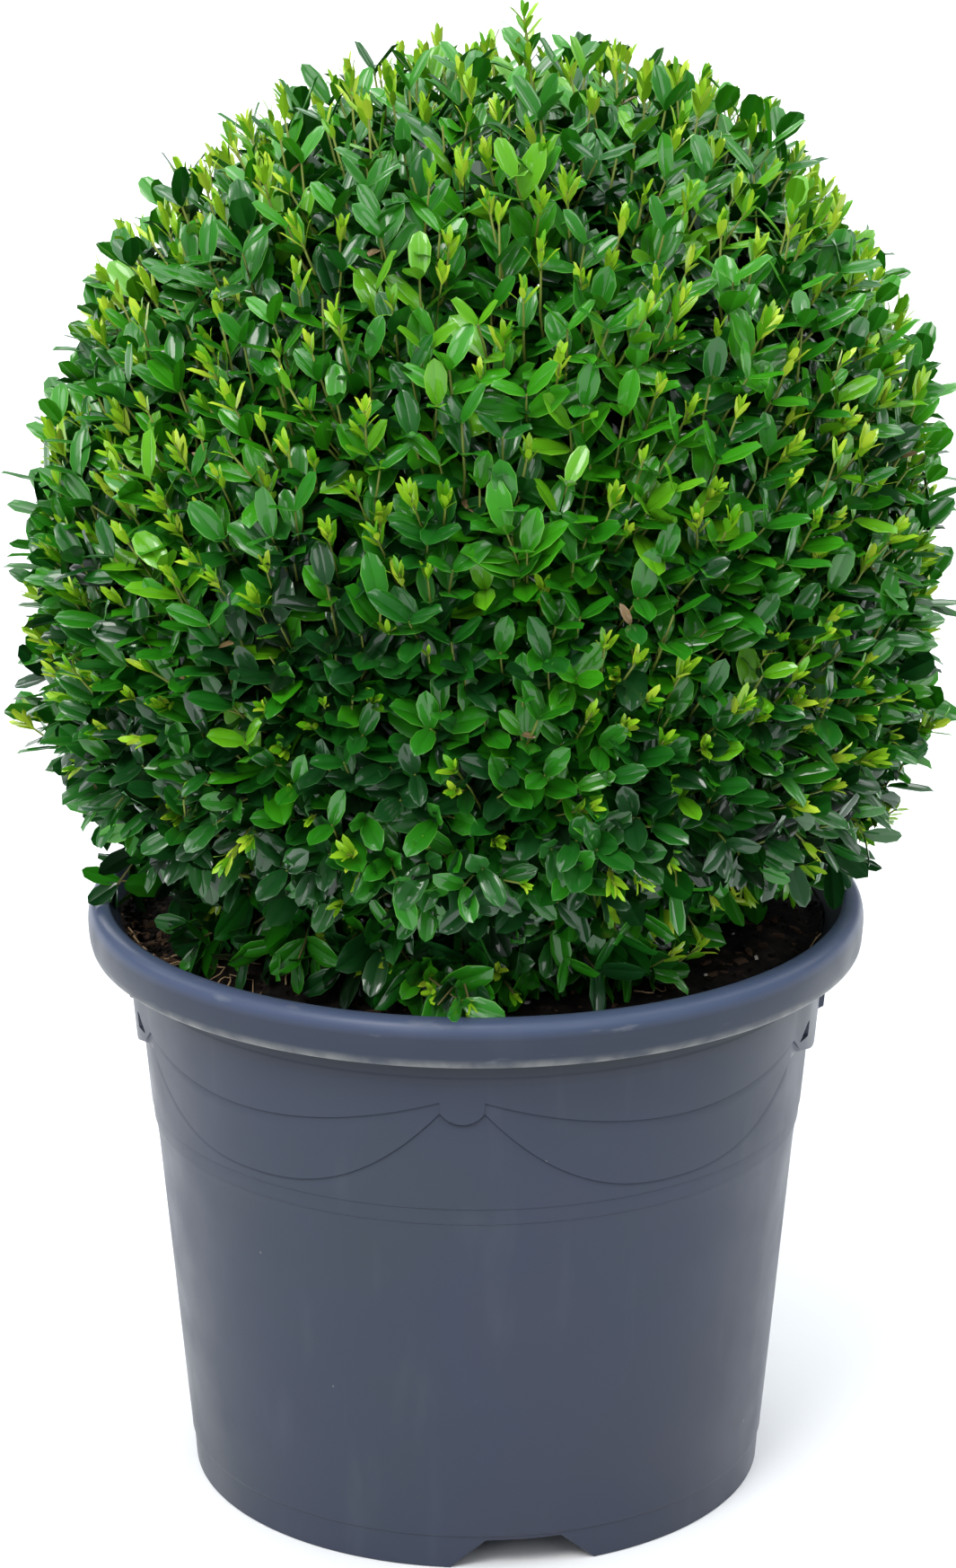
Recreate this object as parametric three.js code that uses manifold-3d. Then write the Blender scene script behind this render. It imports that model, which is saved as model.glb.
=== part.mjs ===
// Box topiary ball in its plastic nursery pot.
//
// A clipped ball of boxwood stands on a short stem in the root ball of a tapered pot with a rolled
// rim.  Units are millimetres and +Z is up.  The origin is on the ground, on the pot's axis, and
// the front faces -Y.  An azimuth is measured in degrees from the front, positive towards +X.
import * as THREE from "three";
import { mergeVertices } from "three/addons/utils/BufferGeometryUtils.js";
import Module from "manifold-3d";

const wasm = await Module();
wasm.setup();

const GAP = 0.3; // running gap between pieces that touch

// ---------------------------------------------------------------- driving dimensions: pot
const POT_SIDES = 60;
const RIM_CURVE_STEPS = 3;
const WALL_THICKNESS = 2.6;
const FOOT_RADIUS = 121.2;
const FOOT_TOP_RADIUS = 122.2;
const FOOT_WIDTH = 4.2;
const FOOT_HEIGHT = 15;
const FLOOR_UNDERSIDE = 12.6;
const WALL_LOW_RADIUS = 123.4;
const WALL_SLOPE = 0.0855;
const SHOULDER_LOW = 148;
const SHOULDER_HIGH = 158.6;
const SHOULDER_STEP = 1.3;
const WALL_TOP = 234.5;
const RIM_OUTER_RADIUS = 161.6;
const RIM_SKIRT_RADIUS = 158.2;
const RIM_SKIRT_THICKNESS = 2;
const RIM_WIDEST = 244.5;
const RIM_INNER_RADIUS = 152.9;
const RIM_INNER_HEIGHT = 252;
const RIM_TOP = 253.4;

const NOTCH_COUNT = 3; // drain cut-outs round the foot
const NOTCH_AZIMUTH = 9.3;
const NOTCH_LOW_WIDTH = 60;
const NOTCH_TOP_WIDTH = 31;

const PATTERN_AZIMUTH = -2.2; // the moulded pattern is turned a little on the pot
const LUG_HALF_ANGLE = 20;
const LUG_PROUD = 2.6;
const LUG_BOTTOM = 182;
const LUG_TOP = 231;
const LUG_CORNER_ANGLE = 6; // where the lower edge starts to curve up, from the middle of a lug
const LUG_CORNER_TOP = 198;
const LUG_CORNER_STEPS = 5;
const NUB_HALF_ANGLE = 4;
const NUB_PROUD = 4.6;
const NUB_BOTTOM = 201;
const SLOT_ANGLE = 17.3; // from the middle of a lug to each of its two slots
const SLOT_BOTTOM = 199;
const SLOT_TOP = 209;
const SLOT_WIDTH = 6;
const TAB_WIDTH = 18;
const TAB_TOP = 219;
const TAB_BOTTOM = 203.3;
const TAB_PROUD = 1.2;

// ---------------------------------------------------------------- driving dimensions: root ball
const SOIL_HEIGHT = 240;
const SOIL_EDGE_HEIGHT = 243;
const SOIL_SIDES = 48;
const SOIL_LUMP = 1.6;

// ---------------------------------------------------------------- driving dimensions: plant
const STEM_TOP = 262;
const STEM_FOOT_RADIUS = 19;
const STEM_RADIUS = 13.5;
const STEM_LEAN = new THREE.Vector2(2, -1);
const SIDE_BOUGHS = 5; // round the leader, which goes on upwards
const BOUGH_RADIUS = 4.7;
const BOUGH_TIP_RADIUS = 3.6;
const LEADER_RADIUS = 3.9;
const BOUGH_RING = 6.5; // radius of the ring that the side boughs fork from
const BOUGH_SOCKET = 8; // how far a bough reaches into the foliage

const CROWN_SIDES = 48;
const CROWN_ROWS = 20;
const CROWN_CENTRE = 381.1;
const CROWN_UP = 223.4;
const CROWN_DOWN = 206.8;
const CROWN_FOOT = 265;
const CROWN_LEFT = { radius: 187.5, upper: 1.963, lower: 2.148 };
const CROWN_RIGHT = { radius: 190.7, upper: 2.576, lower: 2.26 };
const CROWN_TUCK_START = 306; // the front and back of the skirt draw in below this height
const CROWN_TUCK = 34;
const CROWN_LUMP = 4.2;
const SKIRT_INNER_RADIUS = 106;
const HOLLOW_RADIUS = 30; // the pocket over the fork, where the boughs show no leaves
const HOLLOW_FLOOR = 257;
const HOLLOW_RISE = 56;

const rad = THREE.MathUtils.degToRad;
const { lerp, clamp, smoothstep } = THREE.MathUtils;

/** The point at a radius, azimuth (degrees from the front) and height. */
function around(radius, azimuth, height) {
  return new THREE.Vector3(radius * Math.sin(rad(azimuth)), -radius * Math.cos(rad(azimuth)), height);
}

// ---------------------------------------------------------------- materials
const plastic = new THREE.MeshStandardMaterial({ color: 0x515669, roughness: 0.45, metalness: 0 });
const compost = new THREE.MeshStandardMaterial({ color: 0x2a211b, roughness: 0.95, metalness: 0 });
const bark = new THREE.MeshStandardMaterial({ color: 0x6b5c40, roughness: 0.9, metalness: 0 });
const leaves = new THREE.MeshStandardMaterial({ color: 0x3c7a22, roughness: 0.5, metalness: 0 });
const youngLeaves = new THREE.MeshStandardMaterial({ color: 0x86b82c, roughness: 0.5, metalness: 0 });

// ---------------------------------------------------------------- solids
/** A closed triangle mesh as a solid; its shared vertices are merged first. */
function toSolid(geometry) {
  const bare = geometry.clone();
  bare.deleteAttribute("normal");
  bare.deleteAttribute("uv");
  const merged = mergeVertices(bare, 1e-3);
  const index = merged.index.array;
  const triangles = [];
  for (let i = 0; i < index.length; i += 3) {
    const [a, b, c] = index.slice(i, i + 3);
    if (a !== b && b !== c && c !== a) triangles.push(a, b, c);
  }
  const vertProperties = new Float32Array(merged.attributes.position.array);
  const mesh = new wasm.Mesh({ numProp: 3, vertProperties, triVerts: new Uint32Array(triangles) });
  return new wasm.Manifold(mesh);
}

/** The triangle mesh of a solid. */
function toGeometry(solid) {
  const { vertProperties, triVerts } = solid.getMesh();
  const geometry = new THREE.BufferGeometry();
  geometry.setAttribute("position", new THREE.BufferAttribute(vertProperties, 3));
  geometry.setIndex(new THREE.BufferAttribute(triVerts, 1));
  const flat = geometry.toNonIndexed();
  flat.computeVertexNormals();
  return flat;
}

/** A closed surface through rings of points: rings run upwards, points run counter-clockwise. */
function loft(rings) {
  const count = rings[0].length;
  const points = rings.flat();
  const triangles = [];
  for (let row = 0; row + 1 < rings.length; row++) {
    for (let i = 0; i < count; i++) {
      const a = row * count + i;
      const b = row * count + ((i + 1) % count);
      triangles.push(a, b, b + count, a, b + count, a + count);
    }
  }
  for (const [row, turned] of [[0, true], [rings.length - 1, false]]) {
    const middle = new THREE.Vector3();
    rings[row].forEach((point) => middle.addScaledVector(point, 1 / count));
    points.push(middle);
    for (let i = 0; i < count; i++) {
      const a = row * count + i;
      const b = row * count + ((i + 1) % count);
      triangles.push(...(turned ? [b, a] : [a, b]), points.length - 1);
    }
  }
  const geometry = new THREE.BufferGeometry().setFromPoints(points);
  geometry.setIndex(triangles);
  return geometry;
}

/** A limb along a smooth curve through points, with a radius given as a function of 0..1. */
function limb(through, radiusAt, { steps, sides, lump = () => 0 }) {
  const curve = new THREE.CatmullRomCurve3(through);
  const side = new THREE.Vector3();
  const up = new THREE.Vector3();
  const rings = [];
  const start = curve.getTangentAt(0);
  side.set(start.z, 0, -start.x);
  for (let step = 0; step <= steps; step++) {
    const t = step / steps;
    const tangent = curve.getTangentAt(t);
    up.crossVectors(tangent, side).normalize();
    side.crossVectors(up, tangent).normalize();
    const centre = curve.getPointAt(t);
    rings.push(Array.from({ length: sides }, (_, i) => {
      const turn = (2 * Math.PI * i) / sides;
      const radius = radiusAt(t) + lump(turn, t);
      return centre.clone()
        .addScaledVector(side, radius * Math.cos(turn))
        .addScaledVector(up, radius * Math.sin(turn));
    }));
  }
  return loft(rings);
}

/** A body of revolution round the Z axis, from an outline of radius and height. */
function turned(outline, sides) {
  const lathe = new THREE.LatheGeometry(outline, sides);
  lathe.rotateX(Math.PI / 2);
  return toSolid(lathe);
}

/** A block bent round the pot's axis, between two radii, heights and azimuths. */
function arcBlock(radiusIn, radiusOut, low, high, azimuth, halfAngle, steps = 6) {
  const rings = [];
  for (let step = 0; step <= steps; step++) {
    const angle = azimuth + lerp(-halfAngle, halfAngle, step / steps);
    rings.push([
      around(radiusIn(low), angle, low),
      around(radiusIn(high), angle, high),
      around(radiusOut(high), angle, high),
      around(radiusOut(low), angle, low),
    ]);
  }
  return toSolid(loft(rings));
}

/** An outline drawn in width and height, pushed through the pot wall at an azimuth. */
function radialPrism(outline, radiusIn, radiusOut, azimuth) {
  const shape = new THREE.Shape(outline);
  const prism = new THREE.ExtrudeGeometry(shape, {
    depth: radiusOut - radiusIn, bevelEnabled: false, curveSegments: 6,
  });
  prism.rotateX(Math.PI / 2); // height becomes Z, and the depth runs towards the front
  prism.translate(0, -radiusIn, 0);
  prism.rotateZ(rad(azimuth));
  return toSolid(prism);
}

// ---------------------------------------------------------------- pot
/** The outer radius of the tapered wall, with its soft shoulder. */
function wallRadius(height) {
  const step = SHOULDER_STEP * clamp((height - SHOULDER_LOW) / (SHOULDER_HIGH - SHOULDER_LOW), 0, 1);
  return WALL_LOW_RADIUS + WALL_SLOPE * (height - FOOT_HEIGHT) + step;
}

/** The pot's outline: up the outside, over the hanging rim, and down the inside to the floor. */
function potOutline() {
  const topRadius = wallRadius(WALL_TOP);
  const path = new THREE.Path();
  path.moveTo(0, FLOOR_UNDERSIDE);
  path.lineTo(FOOT_RADIUS - FOOT_WIDTH, FLOOR_UNDERSIDE);
  path.lineTo(FOOT_RADIUS - FOOT_WIDTH, 0);
  path.lineTo(FOOT_RADIUS, 0);
  path.lineTo(FOOT_TOP_RADIUS, FOOT_HEIGHT - 0.6);
  path.lineTo(WALL_LOW_RADIUS, FOOT_HEIGHT);
  path.lineTo(wallRadius(SHOULDER_LOW), SHOULDER_LOW);
  path.lineTo(wallRadius(SHOULDER_HIGH), SHOULDER_HIGH);
  path.lineTo(topRadius, WALL_TOP);
  // the hollow under the rim
  path.quadraticCurveTo(topRadius + 3, WALL_TOP + 12, RIM_INNER_RADIUS, RIM_TOP - 4.5);
  path.quadraticCurveTo(
    RIM_OUTER_RADIUS - 1.5, RIM_TOP - 3.5, RIM_SKIRT_RADIUS - RIM_SKIRT_THICKNESS, WALL_TOP);
  // the skirt, the round top and the inner edge
  path.lineTo(RIM_SKIRT_RADIUS, WALL_TOP);
  path.quadraticCurveTo(RIM_OUTER_RADIUS, WALL_TOP + 4, RIM_OUTER_RADIUS, RIM_WIDEST);
  path.quadraticCurveTo(RIM_OUTER_RADIUS, RIM_TOP, RIM_INNER_RADIUS + 2.5, RIM_TOP);
  path.lineTo(RIM_INNER_RADIUS, RIM_INNER_HEIGHT);
  path.lineTo(topRadius - WALL_THICKNESS, WALL_TOP);
  path.lineTo(wallRadius(SHOULDER_HIGH) - WALL_THICKNESS, SHOULDER_HIGH);
  path.lineTo(wallRadius(SHOULDER_LOW) - WALL_THICKNESS, SHOULDER_LOW);
  path.lineTo(WALL_LOW_RADIUS - WALL_THICKNESS, FOOT_HEIGHT);
  path.lineTo(0, FOOT_HEIGHT);
  return path.getPoints(RIM_CURVE_STEPS);
}

/** A drain cut-out in the foot: wide at the ground and narrower under the floor. */
function footNotch(azimuth) {
  const below = -5;
  const spread = (NOTCH_LOW_WIDTH - NOTCH_TOP_WIDTH) / 2 / FLOOR_UNDERSIDE;
  const low = NOTCH_LOW_WIDTH / 2 - below * spread;
  const top = NOTCH_TOP_WIDTH / 2;
  const outline = [
    new THREE.Vector2(-low, below),
    new THREE.Vector2(low, below),
    new THREE.Vector2(top, FLOOR_UNDERSIDE),
    new THREE.Vector2(-top, FLOOR_UNDERSIDE),
  ];
  return radialPrism(outline, FOOT_RADIUS - 20, FOOT_RADIUS + 10, azimuth);
}

/** The piece cut from a lug's lower corner, which leaves the corner round. */
function lugCorner(azimuth, side) {
  const radius = wallRadius(LUG_CORNER_TOP) + LUG_PROUD;
  const middle = (LUG_CORNER_ANGLE + LUG_HALF_ANGLE) / 2;
  const across = (angle) => radius * Math.sin(((angle - middle) * Math.PI) / 180);
  const start = across(LUG_CORNER_ANGLE);
  const end = across(LUG_HALF_ANGLE) + 0.2;
  const outline = [new THREE.Vector2(side * (end + 8), LUG_CORNER_TOP)];
  outline.push(new THREE.Vector2(side * (end + 8), LUG_BOTTOM - 4));
  outline.push(new THREE.Vector2(side * start, LUG_BOTTOM - 4));
  for (let step = 0; step <= LUG_CORNER_STEPS; step++) {
    const turn = ((step / LUG_CORNER_STEPS) * Math.PI) / 2;
    const height = LUG_CORNER_TOP - (LUG_CORNER_TOP - LUG_BOTTOM) * Math.cos(turn);
    outline.push(new THREE.Vector2(side * (start + (end - start) * Math.sin(turn)), height));
  }
  if (side < 0) outline.reverse();
  return radialPrism(outline, radius - 12, radius + 12, azimuth + side * middle);
}

/** A lug on the side of the pot: a round-cornered plate with a nub, and a tapered slot at each end. */
function lug(azimuth) {
  const inside = (height) => wallRadius(height) - 1;
  const outside = (height) => wallRadius(height) + LUG_PROUD;
  const nubOutside = (height) => wallRadius(height) + NUB_PROUD;
  let plate = arcBlock(inside, outside, LUG_BOTTOM, LUG_TOP, azimuth, LUG_HALF_ANGLE);
  plate = plate.add(arcBlock(inside, nubOutside, NUB_BOTTOM, LUG_TOP, azimuth, NUB_HALF_ANGLE));
  for (const side of [-1, 1]) {
    plate = plate.subtract(lugCorner(azimuth, side));
    const outline = [
      new THREE.Vector2(-SLOT_WIDTH / 2, SLOT_BOTTOM),
      new THREE.Vector2(SLOT_WIDTH / 2, SLOT_BOTTOM),
      new THREE.Vector2(SLOT_WIDTH / 6, SLOT_TOP),
      new THREE.Vector2(-SLOT_WIDTH / 6, SLOT_TOP),
    ];
    const floor = wallRadius(SLOT_TOP) + 0.4;
    plate = plate.subtract(radialPrism(outline, floor, floor + 8, azimuth + side * SLOT_ANGLE));
  }
  return plate;
}

/** The small shield-shaped tab that the moulded swags hang from. */
function tab(azimuth) {
  const shape = new THREE.Shape();
  const half = TAB_WIDTH / 2;
  const middle = TAB_BOTTOM + half;
  shape.moveTo(half, TAB_TOP);
  shape.lineTo(-half, TAB_TOP);
  shape.lineTo(-half, middle);
  shape.absarc(0, middle, half, Math.PI, 2 * Math.PI);
  const radius = wallRadius(TAB_TOP);
  return radialPrism(shape.getPoints(5), radius - 2.2, radius + TAB_PROUD, azimuth);
}

function pot() {
  let body = turned(potOutline(), POT_SIDES);
  for (let notch = 0; notch < NOTCH_COUNT; notch++) {
    body = body.subtract(footNotch(NOTCH_AZIMUTH + (360 / NOTCH_COUNT) * notch));
  }
  for (const side of [90, 270]) body = body.add(lug(PATTERN_AZIMUTH + side));
  for (const side of [0, 180]) body = body.add(tab(PATTERN_AZIMUTH + side));
  return toGeometry(body);
}

// ---------------------------------------------------------------- root ball
/** The compost and roots that fill the pot, level under the stem and lumpy towards the rim. */
function rootBall() {
  const inside = (height) => wallRadius(height) - WALL_THICKNESS - GAP;
  const level = FOOT_HEIGHT + GAP;
  const flare = (RIM_INNER_RADIUS - inside(WALL_TOP)) / (RIM_INNER_HEIGHT - WALL_TOP);
  const edge = inside(WALL_TOP) + flare * (SOIL_EDGE_HEIGHT - WALL_TOP) - 2 * GAP;
  const levelRadius = STEM_FOOT_RADIUS + 8;
  const top = [0.8, 0.55, 0.3].map((share) => [
    lerp(levelRadius, edge, share), lerp(SOIL_HEIGHT, SOIL_EDGE_HEIGHT, share)]);
  const outline = [
    [0, level],
    [inside(FOOT_HEIGHT), level],
    [inside(SHOULDER_LOW), SHOULDER_LOW],
    [inside(SHOULDER_HIGH) - GAP, SHOULDER_HIGH],
    [inside(WALL_TOP) - GAP, WALL_TOP],
    [edge, SOIL_EDGE_HEIGHT],
    ...top,
    [levelRadius, SOIL_HEIGHT],
    [0, SOIL_HEIGHT],
  ].map(([radius, height]) => new THREE.Vector2(radius, height));
  const lathe = new THREE.LatheGeometry(outline, SOIL_SIDES);
  lathe.rotateX(Math.PI / 2);
  const position = lathe.attributes.position;
  for (let i = 0; i < position.count; i++) {
    const radius = Math.hypot(position.getX(i), position.getY(i));
    const height = position.getZ(i);
    if (height < SOIL_HEIGHT || radius < levelRadius + 1 || radius > edge - 1) continue;
    const turn = Math.atan2(position.getY(i), position.getX(i));
    const lump = Math.sin(5 * turn + radius) + Math.sin(11 * turn - 2 * radius);
    position.setZ(i, height + (SOIL_LUMP * lump) / 2);
  }
  return toGeometry(toSolid(lathe));
}

// ---------------------------------------------------------------- stem and boughs
/** The short stem: flared at the flat cut where it meets the compost, leaning slightly. */
function stem(grow = 0) {
  const rows = 6;
  const sides = 14;
  const rings = Array.from({ length: rows + 1 }, (_, row) => {
    const t = row / rows;
    const height = lerp(SOIL_HEIGHT + GAP - grow, STEM_TOP + grow, t);
    const flare = (STEM_FOOT_RADIUS - STEM_RADIUS) * (1 - t) ** 3;
    return Array.from({ length: sides }, (_, i) => {
      const turn = (2 * Math.PI * i) / sides;
      const lump = (1 - t) * (1.3 * Math.sin(3 * turn) + 0.8 * Math.sin(5 * turn + 1));
      const radius = STEM_RADIUS + flare + lump - 1.2 * t + grow;
      return new THREE.Vector3(
        STEM_LEAN.x * t + radius * Math.cos(turn), STEM_LEAN.y * t + radius * Math.sin(turn), height);
    });
  });
  return toSolid(loft(rings));
}

/** The way of one bough: from inside the stem's top, bowed outwards, up into the foliage. */
function boughWay(index, reach) {
  const leader = index === SIDE_BOUGHS;
  const azimuth = (360 / SIDE_BOUGHS) * index + 9 * Math.sin(2.4 * index) + 20;
  const start = around(leader ? 0 : BOUGH_RING, azimuth, STEM_TOP - 5);
  start.add(new THREE.Vector3(STEM_LEAN.x, STEM_LEAN.y, 0));
  const rise = leader ? 1.45 : 0.52 + 0.13 * Math.sin(1.7 * index + 0.6);
  const end = around(
    (HOLLOW_RADIUS + reach) * Math.cos(rise), azimuth,
    HOLLOW_FLOOR + (HOLLOW_RISE + reach) * Math.sin(rise));
  const bow = start.clone().lerp(end, 0.5).add(around(leader ? 1.5 : 2, azimuth + 60, 0));
  return [start, bow, end];
}

function bough(index, grow = 0) {
  const thick = index === SIDE_BOUGHS ? LEADER_RADIUS : BOUGH_RADIUS;
  const radiusAt = (t) => lerp(thick, thick * (BOUGH_TIP_RADIUS / BOUGH_RADIUS), t) + grow;
  return toSolid(limb(boughWay(index, BOUGH_SOCKET + grow), radiusAt, { steps: 5, sides: 9 }));
}

// ---------------------------------------------------------------- foliage
/** Half-width of the clipped ball at a height, blended from its left side to its right side. */
function crownRadius(azimuth, height) {
  const above = height >= CROWN_CENTRE;
  const t = Math.min(Math.abs(height - CROWN_CENTRE) / (above ? CROWN_UP : CROWN_DOWN), 1);
  const half = (side) => {
    const power = above ? side.upper : side.lower;
    return side.radius * (1 - t ** power) ** (1 / power);
  };
  const rightward = (1 + Math.sin(rad(azimuth))) / 2;
  const facing = Math.cos(rad(azimuth)) ** 2;
  const tuck = CROWN_TUCK * facing * (1 - smoothstep(height, CROWN_FOOT, CROWN_TUCK_START));
  return lerp(half(CROWN_LEFT), half(CROWN_RIGHT), rightward) - tuck;
}

/** Tufts and dips of the clipped surface, from -1 to 1, by crossing waves through space. */
function tufts(azimuth, height) {
  const { x, y, z } = around(CROWN_LEFT.radius, azimuth, height);
  const broad = Math.sin(x / 21 + 1) * Math.sin(y / 19 + 2) * Math.sin(z / 20);
  const fine = Math.sin(x / 9 + z / 13) * Math.sin(y / 10 - z / 11);
  return 0.55 * broad + 0.45 * fine;
}

/** The ball of foliage: one closed, uneven shell-like mass, hollow over the forking boughs. */
function crown(grow = 0) {
  const rows = [];
  const hollowRows = 3;
  for (let row = 1; row <= hollowRows; row++) {
    const slope = (Math.PI / 2) * (1 - row / (hollowRows + 0.4));
    rows.push({
      radius: () => (HOLLOW_RADIUS - grow) * Math.cos(slope),
      height: HOLLOW_FLOOR + (HOLLOW_RISE - grow) * Math.sin(slope),
    });
  }
  rows.push({ radius: () => SKIRT_INNER_RADIUS, height: HOLLOW_FLOOR - grow });
  for (let row = 0; row < CROWN_ROWS; row++) {
    const low = Math.asin((CROWN_FOOT - CROWN_CENTRE) / CROWN_DOWN);
    const slope = lerp(low, Math.PI / 2, row / CROWN_ROWS);
    const height = CROWN_CENTRE + Math.sin(slope) * (slope < 0 ? CROWN_DOWN : CROWN_UP + grow);
    const lump = CROWN_LUMP * clamp(2 * Math.cos(slope), 0, 1);
    rows.push({
      radius: (azimuth) => crownRadius(azimuth, height) + lump * tufts(azimuth, height) + grow,
      height: height - (row === 0 ? grow : 0),
    });
  }
  const rings = rows.map(({ radius, height }) => Array.from({ length: CROWN_SIDES }, (_, i) => {
    const azimuth = (360 * i) / CROWN_SIDES;
    return around(radius(azimuth), azimuth, height);
  }));
  const geometry = loft(rings);
  const position = geometry.attributes.position;
  position.setZ(position.count - 2, HOLLOW_FLOOR + HOLLOW_RISE - grow); // the middle of the hollow
  position.setZ(position.count - 1, CROWN_CENTRE + CROWN_UP + grow); // the top of the ball
  return toSolid(geometry);
}

/** A stray spray or shoot: a lumpy spindle from one point to another. */
function spray(from, to, radius, sag = 0) {
  const middle = from.clone().lerp(to, 0.5).add(new THREE.Vector3(0, 0, sag));
  const radiusAt = (t) => radius * (0.35 + 0.65 * Math.sin(Math.PI * clamp(t, 0.12, 0.97)));
  const lump = (turn, t) => 0.14 * radius * Math.sin(3 * turn + 9 * t);
  return toSolid(limb([from, middle, to], radiusAt, { steps: 6, sides: 9, lump }));
}

// name, start, end, radius and sag of every spray that escapes the clipped outline
const SPRAYS = [
  ["spray_left_side", around(160, -94, 334), around(191, -89, 306), 15, 3],
  ["spray_right_side", around(164, 84, 306), around(194, 88, 334), 16, -3],
  ["spray_right_rim", around(140, 96, 266), around(184, 91, 280), 12, -3],
  ["spray_front_right", around(114, 13, 254), around(138, 45, 253), 7.5, 0],
  ["spray_front_low", around(108, -14, 254), around(147, -3, 259), 10, 0],
];
const TOP_SHOOT = ["shoot_top", around(18, 84, 596), around(20.5, 90, 622.5), 5.5, 0];

// ---------------------------------------------------------------- assembly
const plant = new THREE.Group();

function addPiece(name, geometry, material) {
  const mesh = new THREE.Mesh(geometry, material);
  mesh.name = name;
  plant.add(mesh);
}

addPiece("pot", pot(), plastic);
addPiece("root_ball", rootBall(), compost);
addPiece("stem", toGeometry(stem()), bark);

let foliage = crown();
const stemRoom = stem(GAP);
for (let index = 0; index <= SIDE_BOUGHS; index++) {
  const name = index === SIDE_BOUGHS ? "bough_leader" : `bough_${index + 1}`;
  addPiece(name, toGeometry(bough(index).subtract(stemRoom)), bark);
  foliage = foliage.subtract(bough(index, GAP));
}
addPiece("foliage_ball", toGeometry(foliage), leaves);

const crownRoom = crown(GAP);
for (const [name, from, to, radius, sag] of SPRAYS) {
  addPiece(name, toGeometry(spray(from, to, radius, sag).subtract(crownRoom)), leaves);
}
const [shootName, shootFoot, shootTip, shootRadius, shootSag] = TOP_SHOOT;
const shoot = spray(shootFoot, shootTip, shootRadius, shootSag).subtract(crownRoom);
addPiece(shootName, toGeometry(shoot), youngLeaves);

export default plant;
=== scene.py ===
"""Looks of the potted box topiary ball.

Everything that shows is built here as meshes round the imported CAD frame. Lengths are in
millimetres until a mesh is written, which turns them to metres.
An azimuth is in degrees from the front (-Y), positive towards +X.
"""
import math

import bpy
import numpy as np
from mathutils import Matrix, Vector, noise
from mathutils.bvhtree import BVHTree


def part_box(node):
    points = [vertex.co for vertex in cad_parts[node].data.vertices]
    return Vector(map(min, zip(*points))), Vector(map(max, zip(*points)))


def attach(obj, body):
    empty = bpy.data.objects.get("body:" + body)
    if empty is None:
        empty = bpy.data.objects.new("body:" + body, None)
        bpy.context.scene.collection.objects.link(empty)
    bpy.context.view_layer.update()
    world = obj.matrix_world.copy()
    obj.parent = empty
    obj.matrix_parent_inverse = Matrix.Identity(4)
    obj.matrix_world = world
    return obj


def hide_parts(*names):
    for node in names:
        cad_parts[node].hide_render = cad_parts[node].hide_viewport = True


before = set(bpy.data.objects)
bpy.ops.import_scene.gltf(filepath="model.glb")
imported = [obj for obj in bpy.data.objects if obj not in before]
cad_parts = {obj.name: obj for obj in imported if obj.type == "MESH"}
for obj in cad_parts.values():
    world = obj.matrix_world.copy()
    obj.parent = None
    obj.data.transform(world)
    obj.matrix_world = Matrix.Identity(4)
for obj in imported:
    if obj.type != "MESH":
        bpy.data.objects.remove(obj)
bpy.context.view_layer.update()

MM = 0.001
UP = np.array([0.0, 0.0, 1.0])
PIECE_TRIANGLES = 190_000  # a joined piece holds no more than this
rng = np.random.default_rng(20)


# ---- frame measures
def node_box(node):
    """Lowest and highest corner of a CAD node, in millimetres."""
    low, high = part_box(node)
    return np.array(low) / MM, np.array(high) / MM


RIM_TOP = node_box("pot")[1][2]
SOIL_LOW, SOIL_HIGH = node_box("root_ball")
CROWN_LOW, CROWN_HIGH = node_box("foliage_ball")
STEM_LOW, STEM_HIGH = node_box("stem")


# ---- small helpers
def unit(v):
    return v / np.maximum(np.linalg.norm(v, axis=-1, keepdims=True), 1e-9)


def smooth(t):
    t = np.clip(t, 0, 1)
    return t * t * (3 - 2 * t)


def around(radius, azimuth, height):
    """Points at a radius, azimuth in degrees and height."""
    turn = np.radians(azimuth)
    return np.stack(np.broadcast_arrays(radius * np.sin(turn), -radius * np.cos(turn), height), -1)


def linear(*rgb):
    """An sRGB colour of 0..255 as a linear one, with its alpha."""
    values = np.array(rgb) / 255
    return (*np.where(values < 0.04045, values / 12.92, ((values + 0.055) / 1.055) ** 2.4), 1)


def new_object(name, data):
    item = bpy.data.objects.new(name, data)
    bpy.context.scene.collection.objects.link(item)
    return item


def write_mesh(name, points, faces, materials, slots=None, smooth_shade=True):
    """A mesh object from points in millimetres and a list of (count, corners) index arrays."""
    mesh = bpy.data.meshes.new(name)
    points = np.asarray(points, np.float32).reshape(-1, 3) * MM
    loops = np.concatenate([f.reshape(-1) for f in faces]).astype(np.int32)
    sizes = np.concatenate([np.full(len(f), f.shape[1]) for f in faces]).astype(np.int32)
    mesh.vertices.add(len(points))
    mesh.vertices.foreach_set("co", points.reshape(-1))
    mesh.loops.add(len(loops))
    mesh.loops.foreach_set("vertex_index", loops)
    mesh.polygons.add(len(sizes))
    mesh.polygons.foreach_set("loop_start", np.concatenate([[0], np.cumsum(sizes)[:-1]]))
    mesh.polygons.foreach_set("loop_total", sizes)
    mesh.polygons.foreach_set("use_smooth", np.full(len(sizes), smooth_shade))
    for material in materials:
        mesh.materials.append(material)
    if slots is not None:
        mesh.polygons.foreach_set("material_index", np.asarray(slots, np.int32))
    mesh.update()
    mesh.validate()
    return new_object(name, mesh)


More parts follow.
